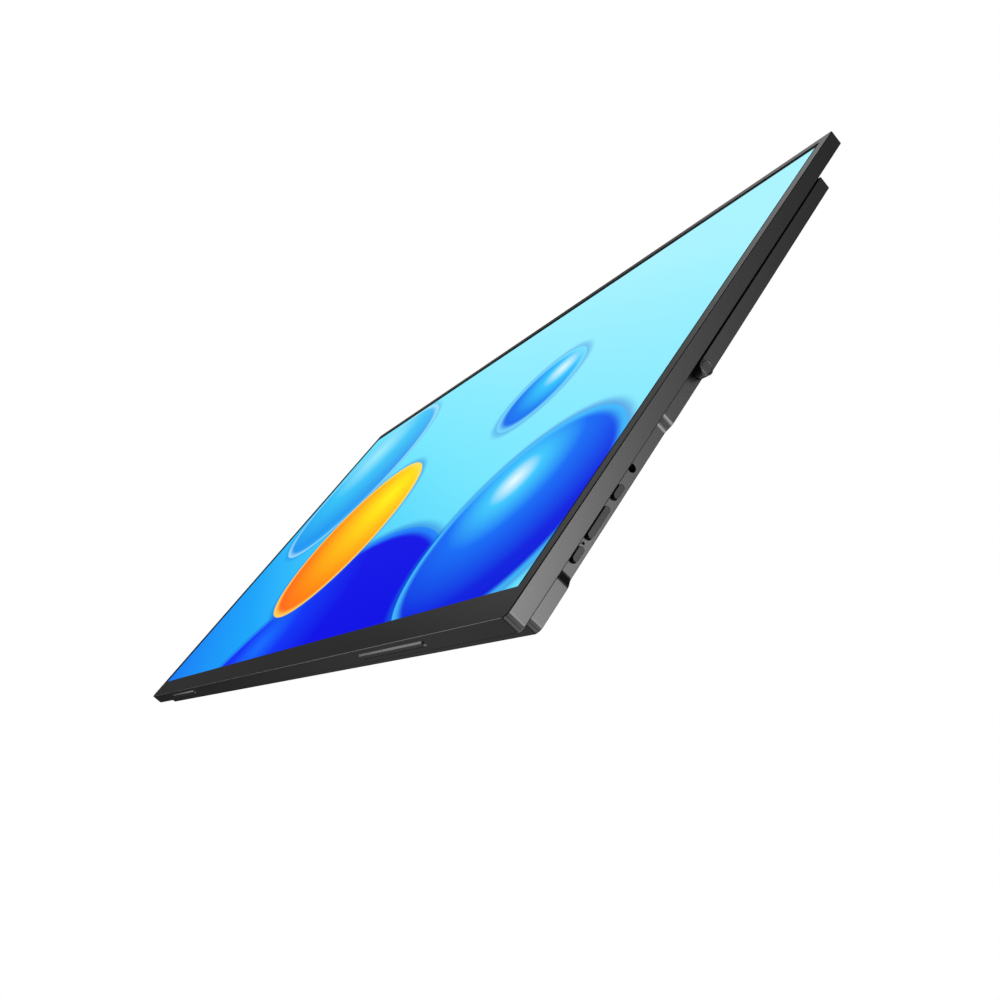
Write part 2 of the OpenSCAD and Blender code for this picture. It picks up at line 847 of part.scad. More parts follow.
module rocker_fulcrum() {
    r = fulcrum_w / 2;
    tip_x = flange_x - clearance;
    color(dark) place() along_y(board_top_y, key_y + key_r) {
        rect(switch_x - switch_d, tip_x - r, rocker_mid_z - r, rocker_mid_z + r);
        translate([tip_x - r, rocker_mid_z]) circle(r);
    }
}

module status_light() {
    color("#d8e4ff") place() {
        block(switch_x - switch_d, plunger_x, board_top_y, key_y + led_r,
              led_z - led_body / 4, led_z + led_body / 4);
        rod_x(key_y, led_z, led_r - slip, plunger_x, recess_x - clearance);
    }
}

module headphone_jack() {
    color(dark) place() difference() {
        block(recess_in_x - jack_len, recess_in_x, board_top_y, skin_in_y - slip,
              jack_z - jack_body_half, jack_z + jack_body_half);
        rod_x(jack_y, jack_z, jack_r, recess_in_x - jack_len + jack_wall, recess_in_x + cut);
    }
}

// A key: a pill that stands through its slot, on a wider flange behind the wall
module key(z, len) {
    along_x(flange_x + flange_t, key_face_x) pill(key_y, z, z + len, key_r);
    along_x(flange_x, flange_x + flange_t)
        pill(key_y, z - flange_rim, z + len + flange_rim, key_r + flange_rim);
}

module power_key() {
    color(dark) place() key(power_z, power_len);
}

module rocker_key() {
    color(dark) place() key(rocker_z, rocker_len);
}

module back_key() {
    color(dark) place() key(back_key_z, back_key_len);
}

// A screw along Y with its head's face at head_y; dir is the way the head points
module screw(x, z, seat_y, len, dir) {
    rod_y(x, z, head_r, min(seat_y, seat_y + dir * head_t), max(seat_y, seat_y + dir * head_t));
    rod_y(x, z, screw_r, min(seat_y, seat_y - dir * len), max(seat_y, seat_y - dir * len));
}

module housing_screws() {
    color(steel) place() for (p = house_screws)
        screw(p[0], p[1], back_in_y, back_t + house_screw_len - cut, -1);
}

module board_screws() {
    color(steel) place() for (p = board_screws_at)
        screw(p[0], p[1], board_top_y, board_screw_len, 1);
}

module hinge_screws() {
    color(steel) place() mirror_pair() for (p = leaf_screws)
        screw(p[0], p[1], slab_t + leaf_t, hinge_screw_len, 1);
}

module hinge_bracket() {
    difference() {
        union() {
            rod_x(pivot_y, pivot_z, knuckle_r, knuckle_x, knuckle_end_x);
            block(knuckle_x, knuckle_end_x, slab_t, pivot_y, pivot_z - web_half, pivot_z + web_half);
            block(knuckle_x, knuckle_end_x, slab_t, slab_t + leaf_t, leaf_z, pivot_z);
        }
        rod_x(pivot_y, pivot_z, pin_r + pin_fit, knuckle_x - cut, knuckle_end_x + cut);
        for (p = leaf_screws) rod_y(p[0], p[1], screw_hole, slab_t - cut, slab_t + leaf_t + cut);
    }
}

module hinge_bracket_left() {
    color(steel) place() mirror([1, 0, 0]) hinge_bracket();
}

module hinge_bracket_right() {
    color(steel) place() hinge_bracket();
}

// Arms with round lower ends, joined by the bar along the top
module stand_frame() {
    color(charcoal) place() difference() {
        union() {
            mirror_pair() along_x(arm_in_x, half_w) {
                rect(arm_y, arm_rear_y, pivot_z, stand_top_z);
                translate([pivot_y, pivot_z]) circle(arm_t / 2);
            }
            block(-half_w, half_w, arm_y, arm_rear_y, stand_top_z - bar_h, stand_top_z);
        }
        mirror_pair() rod_x(pivot_y, pivot_z, pin_r + press_gap, arm_in_x - cut, half_w + cut);
    }
}

module hinge_pin() {
    rod_x(pivot_y, pivot_z, pin_r, pin_x, half_w - cap_stem);
}

module hinge_pin_left() {
    color(steel) place() mirror([1, 0, 0]) hinge_pin();
}

module hinge_pin_right() {
    color(steel) place() hinge_pin();
}

module friction_washers() {
    color("#8d8f94") place() mirror_pair() for (i = [0:washer_count - 1])
        difference() {
            rod_x(pivot_y, pivot_z, washer_r, washer_x + i * washer_t, washer_x + (i + 1) * washer_t);
            rod_x(pivot_y, pivot_z, pin_r + press_gap, washer_x - cut, knuckle_x);
        }
}

module hinge_nuts() {
    color(steel) place() mirror_pair() difference() {
        translate([nut_x, pivot_y, pivot_z]) rotate([0, 90, 0]) cylinder(r = nut_r, h = nut_t, $fn = 6);
        rod_x(pivot_y, pivot_z, pin_r + press_gap, nut_x - cut, washer_x + cut);
    }
}

// Cap turned from a profile: a stem in the arm's bore, then a disc with a ring groove
module hinge_cap() {
    translate([half_w, pivot_y, pivot_z]) rotate([0, 90, 0]) rotate_extrude() polygon([
        [0, -cap_stem], [cap_stem_r, -cap_stem], [cap_stem_r, 0], [cap_r, 0],
        [cap_r, cap_proud - cap_edge], [cap_r - cap_edge, cap_proud],
        [groove_r + groove_w, cap_proud], [groove_r + groove_w, cap_proud - groove_d],
        [groove_r, cap_proud - groove_d], [groove_r, cap_proud], [0, cap_proud]]);
}

module hinge_cap_left() {
    color(charcoal) place() mirror([1, 0, 0]) hinge_cap();
}

module hinge_cap_right() {
    color(charcoal) place() hinge_cap();
}

module foot_outline() {
    pill_flat(foot_x, foot_x + foot_len, foot_y, foot_w / 2);
}

module foot() {
    along_z(-foot_proud, foot_sink) foot_outline();
}

module foot_left() {
    color("#2a2a2a") place() mirror([1, 0, 0]) foot();
}

module foot_right() {
    color("#2a2a2a") place() foot();
}

front_frame();
rear_cover();
rear_housing();
lcd_cell();
optical_films();
light_guide();
reflector();
panel_tray();
led_strip();
panel_tape();
source_board();
cell_flexes();
display_flex();
main_board();
main_chip();
shield_can();
video_port_shell();
video_port_tongue();
data_port_shells();
data_port_tongues();
mount_plate();
mount_inserts();
key_board();
key_switches();
key_flex();
rocker_fulcrum();
status_light();
headphone_jack();
power_key();
rocker_key();
back_key();
housing_screws();
board_screws();
hinge_screws();
hinge_bracket_left();
hinge_bracket_right();
stand_frame();
hinge_pin_left();
hinge_pin_right();
friction_washers();
hinge_nuts();
hinge_cap_left();
hinge_cap_right();
foot_left();
foot_right();
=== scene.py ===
import json
import math

import bmesh
import bpy
from mathutils import Euler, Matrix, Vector


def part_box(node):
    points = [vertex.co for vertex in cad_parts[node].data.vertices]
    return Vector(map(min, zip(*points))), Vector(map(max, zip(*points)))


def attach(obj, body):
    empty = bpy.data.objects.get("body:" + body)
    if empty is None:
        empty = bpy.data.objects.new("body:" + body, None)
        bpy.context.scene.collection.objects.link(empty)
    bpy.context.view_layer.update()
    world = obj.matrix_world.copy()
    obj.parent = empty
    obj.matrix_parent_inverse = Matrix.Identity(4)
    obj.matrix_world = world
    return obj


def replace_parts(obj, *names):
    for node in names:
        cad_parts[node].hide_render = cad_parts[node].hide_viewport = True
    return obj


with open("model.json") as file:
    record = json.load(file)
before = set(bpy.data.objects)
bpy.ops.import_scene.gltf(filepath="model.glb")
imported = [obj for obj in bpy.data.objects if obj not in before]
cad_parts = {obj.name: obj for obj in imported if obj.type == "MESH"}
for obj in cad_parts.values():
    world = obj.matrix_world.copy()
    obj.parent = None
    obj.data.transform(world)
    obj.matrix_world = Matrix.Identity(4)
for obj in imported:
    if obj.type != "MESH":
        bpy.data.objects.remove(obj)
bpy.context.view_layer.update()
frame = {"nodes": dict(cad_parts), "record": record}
scene = bpy.context.scene
scene.view_settings.view_transform = "Standard"
mm = 0.001


# sRGB hex to linear by the sRGB curve, with alpha
def linear(code):
    parts = [int(code[i:i + 2], 16) / 255 for i in (1, 3, 5)]
    return [c / 12.92 if c <= 0.04045 else ((c + 0.055) / 1.055) ** 2.4 for c in parts] + [1]


# One node with its settings; each input takes a value or another node's output
def addNode(tree, kind, inputs=None, **settings):
    node = tree.nodes.new(kind)
    for name, value in settings.items():
        setattr(node, name, value)
    for socket, value in (inputs or {}).items():
        if isinstance(value, bpy.types.NodeSocket):
            tree.links.new(value, node.inputs[socket])
        else:
            node.inputs[socket].default_value = value
    return node


def newMaterial(name):
    material = bpy.data.materials.new(name)
    material.use_nodes = True
    material.node_tree.nodes.clear()
    return material, material.node_tree


def setRamp(node, stops):
    ramp = node.color_ramp
    while len(ramp.elements) < len(stops):
        ramp.elements.new(0.5)
    for element, (place, code) in zip(ramp.elements, stops):
        element.position = place
        element.color = linear(code)


# 1 inside a box, 0 outside
def insideBox(tree, place, low, high):
    middle = [(a + b) / 2 for a, b in zip(low, high)]
    scale = [2 / (b - a) for a, b in zip(low, high)]
    shift = [-c * k for c, k in zip(middle, scale)]
    unit = addNode(tree, "ShaderNodeVectorMath", {
        0: place, 1: scale, 2: shift}, operation="MULTIPLY_ADD")
    away = addNode(tree, "ShaderNodeVectorMath", {0: unit.outputs["Vector"]}, operation="ABSOLUTE")
    axes = addNode(tree, "ShaderNodeSeparateXYZ", {0: away.outputs["Vector"]})
    wide = addNode(tree, "ShaderNodeMath", {
        0: axes.outputs["X"], 1: axes.outputs["Y"]}, operation="MAXIMUM")
    most = addNode(tree, "ShaderNodeMath", {
        0: wide.outputs["Value"], 1: axes.outputs["Z"]}, operation="MAXIMUM")
    return addNode(tree, "ShaderNodeMath", {
        0: most.outputs["Value"], 1: 1}, operation="LESS_THAN").outputs["Value"]


print("camera")
camera = {
    "place": (525.2, -108.0, -125.6),       # mm
    "turn": (126.130, -30.782, 52.961),     # degrees
    "lens": 33.547, "sensor": 36,           # mm
    "nearest": 10,                          # mm, nothing nearer is drawn
}
lens = bpy.data.cameras.new("camera")
lens.lens = camera["lens"]
lens.sensor_width = camera["sensor"]
lens.clip_start = camera["nearest"] * mm
eye = bpy.data.objects.new("camera", lens)
eye.location = Vector(camera["place"]) * mm
eye.rotation_euler = Euler([math.radians(a) for a in camera["turn"]])
scene.collection.objects.link(eye)
scene.camera = eye


print("materials")
# What each finish is made of and how its surface was made. Grain is the spacing of its texture,
# cloud that of its slow unevenness, and depth the texture's height, all in mm. Eroded moulds,
# film beads and plating are finer than 0.2 mm and are drawn at 0.3 to 0.8 so that they show.
finishes = {
    # ABS from a spark-eroded mould: an even charcoal with a satin gloss and a faint sparkle
    "shell_plastic": {
        "name": "spark_eroded_abs",
        "colour": "#101010", "speck": "#171717", "roughness": 0.28, "ior": 1.5,
        "wear": 0.02, "grain": 0.7, "depth": 0.001, "cloud": 60},
    # aluminium under textured powder paint: the same charcoal, a touch tighter and harder
    "stand_metal": {
        "name": "powder_painted_aluminium",
        "colour": "#101010", "speck": "#161616", "roughness": 0.28, "ior": 1.5,
        "wear": 0.02, "grain": 0.6, "depth": 0.001, "cloud": 50},
    # ABS with a satin mould face: darker and smoother than the shell
    "key_plastic": {
        "name": "satin_moulded_abs",
        "colour": "#0b0b0b", "speck": "#121212", "roughness": 0.33, "ior": 1.5, "shine": 0.26,
        "wear": 0.02, "grain": 0.5, "depth": 0.001, "cloud": 20},
    # frosted polyester sheet: milky, lets light through softly
    "optical_film": {
        "name": "frosted_polyester",
        "colour": "#eef2f5", "speck": "#dfe6ea", "roughness": 0.5, "ior": 1.57,
        "grain": 0.4, "depth": 0.01, "cloud": 40},
    # cast acrylic with a printed dot pattern: clear and wet-looking
    "acrylic": {
        "name": "dotted_cast_acrylic",
        "colour": "#dff0f8", "speck": "#f6fbff", "roughness": 0.08, "ior": 1.49,
        "grain": 1.2, "depth": 0.01, "cloud": 80},
    # foamed white polyester: flat bright white
    "white_film": {
        "name": "foamed_polyester",
        "colour": "#f4f4f2", "speck": "#e8e8e6", "roughness": 0.6, "ior": 1.57,
        "grain": 0.5, "depth": 0.01, "cloud": 70},
    # zinc-plated sheet steel: cool grey with faint spangle
    "sheet_steel": {
        "name": "zinc_plated_sheet_steel",
        "colour": "#b4b7bc", "speck": "#9da1a8", "roughness": 0.36, "metallic": 1,
        "grain": 3, "depth": 0.01, "cloud": 12},
    # white solder mask with phosphor domes: pale yellow, half gloss
    "led_board": {
        "name": "white_masked_board",
        "colour": "#f3e9a8", "speck": "#fff6c9", "roughness": 0.4, "ior": 1.5,
        "grain": 1, "depth": 0.02, "cloud": 12},
    # closed-cell foam tape: dead black with pores
    "foam_tape": {
        "name": "closed_cell_foam",
        "colour": "#1c1c1d", "speck": "#2a2a2b", "roughness": 0.9, "ior": 1.45,
        "grain": 0.5, "depth": 0.15, "cloud": 20},
    # fibreglass board under green solder mask: deep green with lighter traces
    "circuit_board": {
        "name": "green_masked_fibreglass",
        "colour": "#14502f", "speck": "#1f7044", "roughness": 0.3, "ior": 1.52,
        "grain": 1.1, "depth": 0.02, "cloud": 9},
    # polyimide film over copper: amber, glossy
    "flex_film": {
        "name": "polyimide_film",
        "colour": "#b06a22", "speck": "#c98434", "roughness": 0.25, "ior": 1.6,
        "grain": 0.8, "depth": 0.01, "cloud": 15},
    # glass-filled nylon moulding: near black, slightly dusty
    "black_moulding": {
        "name": "moulded_nylon",
        "colour": "#161617", "speck": "#242425", "roughness": 0.5, "ior": 1.53,
        "grain": 0.4, "depth": 0.02, "cloud": 8},
    # bright nickel plate on drawn steel: clean white rim light
    "port_nickel": {
        "name": "nickel_plated_steel",
        "colour": "#dcdedf", "speck": "#c6c9cc", "roughness": 0.18, "metallic": 1,
        "grain": 0.5, "depth": 0.004, "cloud": 6},
    # turned brass: warm gold, a little uneven
    "brass": {
        "name": "turned_brass",
        "colour": "#c4a468", "speck": "#a88a50", "roughness": 0.26, "metallic": 1,
        "grain": 0.3, "depth": 0.006, "cloud": 5},
    # stamped tin-plated steel: soft silver
    "switch_metal": {
        "name": "tin_plated_steel",
        "colour": "#c2c4c6", "speck": "#a7a9ac", "roughness": 0.3, "metallic": 1,
        "grain": 0.4, "depth": 0.004, "cloud": 5},
    # smoked polycarbonate with a matt end: a black dot while the light is off
    "light_pipe": {
        "name": "smoked_polycarbonate",
        "colour": "#050506", "speck": "#0a0a0b", "roughness": 0.5, "ior": 1.5, "shine": 0.02,
        "grain": 0.5, "depth": 0.004, "cloud": 5},
    # zinc-plated screw steel: bright, a little uneven
    "screw_steel": {
        "name": "zinc_plated_screw_steel",
        "colour": "#a9abb0", "speck": "#8b8e94", "roughness": 0.32, "metallic": 1,
        "grain": 0.3, "depth": 0.005, "cloud": 4},
    # ground spring steel: a darker grey that shines softly
    "hinge_steel": {
        "name": "ground_spring_steel",
        "colour": "#85878c", "speck": "#6c6e73", "roughness": 0.34, "metallic": 1,
        "grain": 0.3, "depth": 0.006, "cloud": 8},
    # rubber from a smooth mould: dark grey with a satin gloss
    "foot_rubber": {
        "name": "smooth_moulded_rubber",
        "colour": "#1c1c1c", "speck": "#262626", "roughness": 0.3, "ior": 1.52,
        "grain": 0.4, "depth": 0.003, "cloud": 15},
    # pad-printed ink: thin matt grey, broken a little by the grain below
    "label_ink": {
        "name": "pad_printed_ink",
        "colour": "#a6a6a6", "speck": "#8c8c8c", "roughness": 0.6, "ior": 1.5,
        "grain": 0.3, "depth": 0.004, "cloud": 4},
}
# What a finish has unless its own row says otherwise
usualFinish = {
    "ior": 1.5, "metallic": 0, "shine": 0.5,
    "wear": 0.06,                       # how far the roughness strays either way
    "specks": (0.42, 0.72),             # the part of the grain's range that turns to specks
    "clouding": (0.9, 1.1),             # darkest and lightest cloud
    "relief": 0.6,                      # how much of the texture's height shows
    "grainDetail": 3, "grainRoughness": 0.6, "cloudDetail": 2,
}


# Speckle, slow clouding and fine relief over one base colour
def makeFinish(given):
    look = {**usualFinish, **given}
    material, tree = newMaterial(look["name"])
    place = addNode(tree, "ShaderNodeTexCoord").outputs["Object"]
    grain = addNode(tree, "ShaderNodeTexNoise", {
        "Vector": place, "Scale": 1 / (look["grain"] * mm),
        "Detail": look["grainDetail"], "Roughness": look["grainRoughness"]})
    cloud = addNode(tree, "ShaderNodeTexNoise", {
        "Vector": place, "Scale": 1 / (look["cloud"] * mm), "Detail": look["cloudDetail"]})
    speck = addNode(tree, "ShaderNodeMapRange", {
        "Value": grain.outputs["Fac"],
        "From Min": look["specks"][0], "From Max": look["specks"][1]})
    paint = addNode(tree, "ShaderNodeMix", {
        0: speck.outputs["Result"], 6: linear(look["colour"]), 7: linear(look["speck"])},
        data_type="RGBA")
    shade = addNode(tree, "ShaderNodeMapRange", {
        "Value": cloud.outputs["Fac"],
        "To Min": look["clouding"][0], "To Max": look["clouding"][1]})
    tone = addNode(tree, "ShaderNodeVectorMath", {
        0: paint.outputs[2], "Scale": shade.outputs["Result"]}, operation="SCALE")
    wear = addNode(tree, "ShaderNodeMapRange", {
        "Value": grain.outputs["Fac"],
        "To Min": look["roughness"] - look["wear"], "To Max": look["roughness"] + look["wear"]})
    relief = addNode(tree, "ShaderNodeBump", {
        "Height": grain.outputs["Fac"],
        "Strength": look["relief"], "Distance": look["depth"] * mm})
    shader = addNode(tree, "ShaderNodeBsdfPrincipled", {
        "Base Color": tone.outputs["Vector"], "Roughness": wear.outputs["Result"],
        "Metallic": look["metallic"], "IOR": look["ior"], "Specular IOR Level": look["shine"],
        "Normal": relief.outputs["Normal"]})
    addNode(tree, "ShaderNodeOutputMaterial", {"Surface": shader.outputs["BSDF"]})
    return material


materials = {slot: makeFinish(look) for slot, look in finishes.items()}


print("picture")
# The lit picture, in mm from its lower left corner: discs of coloured glass over a soft sky
picture = {
    "corner": (-263.5, 13.2), "width": 527, "height": 295,
    "sky": [(0, "#0a78f5"), (0.22, "#10a4fa"), (0.42, "#3acdfb"), (0.62, "#74e6fd"),
            (1, "#a6f1ff")],
    "skyLine": ((120, -60), (330, 330)),        # the sky's colours run between these points
    "strength": 1.0,                            # brightness of the lit area
    "edge": 0.3,                                # half the width that a disc's outline fades over
    "shadow": "#0064d8", "spread": 7,           # each disc's soft shadow and its width
    "rim": 8,                                   # width of a disc's bright edge
}
# Light is the way from a disc's middle to its bright spot, and the tones run away from that.
# Solid, shade and shine say how strongly the disc, its shadow and its rim cover what is below.
discs = [
    {"middle": (92, 208), "radius": 88, "light": (-30, 45), "solid": 0.75, "shade": 0.3,
     "tones": [(0, "#a8f6ff"), (0.4, "#2cc4f8"), (0.85, "#0a8cf0"), (1, "#22a8fa")],
     "rim": "#c8faff", "shine": 0.7},
    {"middle": (310, -106), "radius": 190, "light": (-90, 120), "solid": 1, "shade": 0.6,
     "tones": [(0, "#0a6cff"), (0.12, "#0032f5"), (0.3, "#0004e6"), (1, "#0000e0")],
     "rim": "#1e8cff", "shine": 0.9},
    {"middle": (214, 108), "radius": 70, "light": (24, 34), "solid": 1, "shade": 0.5,
     "tones": [(0, "#fff000"), (0.4, "#ffc000"), (0.75, "#ff8a00"), (1, "#ff5a14")],
     "rim": "#ffe25a", "shine": 0.8},
    {"middle": (470, 52), "radius": 66, "light": (-20, 30), "solid": 1, "shade": 0.6,
     "tones": [(0, "#e8feff"), (0.16, "#3cc8fc"), (0.42, "#0a6cf5"), (0.8, "#001ee0"),
               (1, "#0010d8")],
     "rim": "#46c8ff", "shine": 0.8},
    {"middle": (386, 178), "radius": 34, "light": (10, 14), "solid": 1, "shade": 0.45,
     "tones": [(0, "#d8fcff"), (0.3, "#30c4fc"), (0.7, "#0a7cf2"), (1, "#0050ea")],
     "rim": "#7ee6ff", "shine": 0.8},
]
# Hazed polyester film on the display: near black where unlit, with a soft and weak reflection.
# The real haze is far finer than 0.4 mm, which is as fine as shows.
film = {
    "name": "hazed_polyester", "colour": "#05070a", "roughness": 0.5, "ior": 1.5, "shine": 0.04,
    "grain": 0.4, "depth": 0.004,       # mm
    "relief": 0.3,
}


# Colours that run along the sky's line
def makeSky(tree, spot):
    (u0, v0), (u1, v1) = picture["skyLine"]
    run = Vector((u1 - u0, 0, v1 - v0))
    start = Vector((u0, 0, v0)).dot(run.normalized())
    along = addNode(tree, "ShaderNodeVectorMath", {
        0: spot, 1: run.normalized()}, operation="DOT_PRODUCT")
    rise = addNode(tree, "ShaderNodeMapRange", {
        "Value": along.outputs["Value"], "From Min": start, "From Max": start + run.length})
    sky = addNode(tree, "ShaderNodeValToRGB", {"Fac": rise.outputs["Result"]})
    setRamp(sky, picture["sky"])
    return sky.outputs["Color"]


# Lays one disc with its soft shadow over the colours below it
def layDisc(tree, spot, below, disc):
    u, v = disc["middle"]
    radius = disc["radius"]
    reach = addNode(tree, "ShaderNodeVectorMath", {
        0: spot, 1: (u, 0, v)}, operation="DISTANCE").outputs["Value"]
    inside = addNode(tree, "ShaderNodeMapRange", {
        "Value": reach, "From Min": radius + picture["edge"],
        "From Max": radius - picture["edge"], "To Max": disc["solid"]})
    shade = addNode(tree, "ShaderNodeMapRange", {
        "Value": reach, "From Min": radius, "From Max": radius + picture["spread"],
        "To Min": disc["shade"], "To Max": 0}, interpolation_type="SMOOTHSTEP")
    glow = addNode(tree, "ShaderNodeVectorMath", {
        0: spot, 1: (u + disc["light"][0], 0, v + disc["light"][1])}, operation="DISTANCE")
    depth = addNode(tree, "ShaderNodeMath", {
        0: glow.outputs["Value"], 1: radius + Vector(disc["light"]).length}, operation="DIVIDE")
    tones = addNode(tree, "ShaderNodeValToRGB", {"Fac": depth.outputs["Value"]})
    setRamp(tones, disc["tones"])
    rim = addNode(tree, "ShaderNodeMapRange", {
        "Value": reach, "From Min": radius - picture["rim"], "From Max": radius,
        "To Max": disc["shine"]}, interpolation_type="SMOOTHERSTEP")
    glass = addNode(tree, "ShaderNodeMix", {
        0: rim.outputs["Result"], 6: tones.outputs["Color"], 7: linear(disc["rim"])},
        data_type="RGBA")
    shaded = addNode(tree, "ShaderNodeMix", {
        0: shade.outputs["Result"], 6: below, 7: linear(picture["shadow"])}, data_type="RGBA")
    laid = addNode(tree, "ShaderNodeMix", {
        0: inside.outputs["Result"], 6: shaded.outputs[2], 7: glass.outputs[2]},
        data_type="RGBA")
    return laid.outputs[2]


def makePicture():
    material, tree = newMaterial(film["name"])
    place = addNode(tree, "ShaderNodeTexCoord").outputs["Object"]
    left, low = picture["corner"]
    spot = addNode(tree, "ShaderNodeVectorMath", {
        0: place, 1: (1 / mm, 0, 1 / mm), 2: (-left, 0, -low)},
        operation="MULTIPLY_ADD").outputs["Vector"]
    colour = makeSky(tree, spot)
    for disc in discs:
        colour = layDisc(tree, spot, colour, disc)
    lit = insideBox(tree, spot, (0, -1, 0), (picture["width"], 1, picture["height"]))
    glow = addNode(tree, "ShaderNodeMath", {0: lit, 1: picture["strength"]}, operation="MULTIPLY")
    grit = addNode(tree, "ShaderNodeTexNoise", {
        "Vector": place, "Scale": 1 / (film["grain"] * mm)})
    relief = addNode(tree, "ShaderNodeBump", {
        "Height": grit.outputs["Fac"],
        "Strength": film["relief"], "Distance": film["depth"] * mm})
    shader = addNode(tree, "ShaderNodeBsdfPrincipled", {
        "Base Color": linear(film["colour"]), "Roughness": film["roughness"],
        "IOR": film["ior"], "Specular IOR Level": film["shine"],
        "Normal": relief.outputs["Normal"],
        "Emission Color": colour, "Emission Strength": glow.outputs["Value"]})
    addNode(tree, "ShaderNodeOutputMaterial", {"Surface": shader.outputs["BSDF"]})
    return material


materials["screen_glass"] = makePicture()


print("finishes on the frame")
slots = {part["node"]: part["material_slot"] for part in frame["record"]["subparts"]}
for name, node in frame["nodes"].items():
    node.data.materials.clear()
    node.data.materials.append(materials[slots[name]])


print("broken edges")
# Radius in mm. Only the outer rim of a shell is broken, where a row gives the rim's width and
# the depths that it lies between.
edges = {
    "front_frame": {"radius": 0.38, "rim": 2, "from": -8, "to": -7.5},
    "rear_cover": {"radius": 0.5, "rim": 4, "from": -0.5, "to": 1},
    "rear_housing": {"radius": 0.2, "rim": 3, "from": -1, "to": 8.2},
    "stand_frame": {"radius": 0.4},
    "hinge_cap_left": {"radius": 0.14}, "hinge_cap_right": {"radius": 0.14},
    "power_key": {"radius": 0.2}, "rocker_key": {"radius": 0.2}, "back_key": {"radius": 0.2},
    "mount_inserts": {"radius": 0.12},
}
bevels = {
    "fold": 35,         # degrees, an edge that folds more is a real one
    "flat": 0.5,        # degrees, faces that differ less become one
    "weld": 0.001,      # mm
    "segments": 2,
}


# Marks the folded edges of a node's rim for the bevel, and keeps its other folds crisp
def markEdges(name, look):
    tree = bpy.data.node_groups.new(name + "_edges", "GeometryNodeTree")
    for way in ("INPUT", "OUTPUT"):
        tree.interface.new_socket("Geometry", in_out=way, socket_type="NodeSocketGeometry")
    given = addNode(tree, "NodeGroupInput").outputs[0]
    fold = addNode(tree, "GeometryNodeInputMeshEdgeAngle").outputs["Unsigned Angle"]
    folded = addNode(tree, "ShaderNodeMath", {
        0: fold, 1: math.radians(bevels["fold"])}, operation="GREATER_THAN").outputs["Value"]
    weight = folded
    if "rim" in look:
        place = addNode(tree, "GeometryNodeInputPosition").outputs["Position"]
        low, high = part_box(name)
        start, end, rim = [look[key] * mm for key in ("from", "to", "rim")]
        outer = insideBox(tree, place, (low[0] - rim, start, low[2] - rim),
                          (high[0] + rim, end, high[2] + rim))
        inner = insideBox(tree, place, (low[0] + rim, start, low[2] + rim),
                          (high[0] - rim, end, high[2] - rim))
        ring = addNode(tree, "ShaderNodeMath", {0: outer, 1: inner}, operation="SUBTRACT")
        weight = addNode(tree, "ShaderNodeMath", {
            0: folded, 1: ring.outputs["Value"]}, operation="MULTIPLY").outputs["Value"]
    left = addNode(tree, "ShaderNodeMath", {0: folded, 1: weight}, operation="SUBTRACT")
    crisp = addNode(tree, "GeometryNodeSetShadeSmooth", {
        "Geometry": given, "Selection": left.outputs["Value"], "Shade Smooth": False},
        domain="EDGE")
    marked = addNode(tree, "GeometryNodeStoreNamedAttribute", {
        "Geometry": crisp.outputs["Geometry"], "Name": "bevel_weight_edge", "Value": weight},
        data_type="FLOAT", domain="EDGE")
    addNode(tree, "NodeGroupOutput", {0: marked.outputs["Geometry"]})
    return tree


def breakEdges(name, look):
    node = frame["nodes"][name]
    weld = node.modifiers.new("weld", "WELD")
    weld.merge_threshold = bevels["weld"] * mm
    merge = node.modifiers.new("merge flat faces", "DECIMATE")
    merge.decimate_type = "DISSOLVE"
    merge.angle_limit = math.radians(bevels["flat"])
    marks = node.modifiers.new("mark edges", "NODES")
    marks.node_group = markEdges(name, look)
    bevel = node.modifiers.new("edge", "BEVEL")
    bevel.width = look["radius"] * mm
    bevel.segments = bevels["segments"]
    bevel.limit_method = "WEIGHT"
    bevel.use_clamp_overlap = False
    bevel.loop_slide = False        # sliding would leave slivers in the long flat faces
    shading = node.modifiers.new("flat faces stay flat", "WEIGHTED_NORMAL")
    shading.keep_sharp = True
    for face in node.data.polygons:
        face.use_smooth = True


for name, look in edges.items():
    breakEdges(name, look)


# Turns a bmesh into a piece that rides on the monitor
def addPiece(name, mesh, material):
    bmesh.ops.recalc_face_normals(mesh, faces=mesh.faces)
    made = bpy.data.meshes.new(name)
    mesh.to_mesh(made)
    mesh.free()
    made.materials.append(materials[material])
    piece = bpy.data.objects.new(name, made)
    scene.collection.objects.link(piece)
    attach(piece, "monitor")
    return piece


# Joins rings of equal count, in mm, into a skin with both ends closed
def skin(mesh, rings, smooth=True):
    rows = [[mesh.verts.new(Vector(point) * mm) for point in ring] for ring in rings]
    for one, two in zip(rows, rows[1:]):
        for i in range(len(one)):
            j = (i + 1) % len(one)
            mesh.faces.new((one[i], one[j], two[j], two[i])).smooth = smooth
    mesh.faces.new(rows[0])
    mesh.faces.new(rows[-1])


print("feet")
foot = {
    "from": 144.5, "to": 207.5, "middle": -3.7, "width": 3.2, "high": 1.3,  # mm
    "slope": 1, "round": 0.35,          # the lower edge's slope and the radius of its folds
    "endSteps": 12, "foldSteps": 3,
}


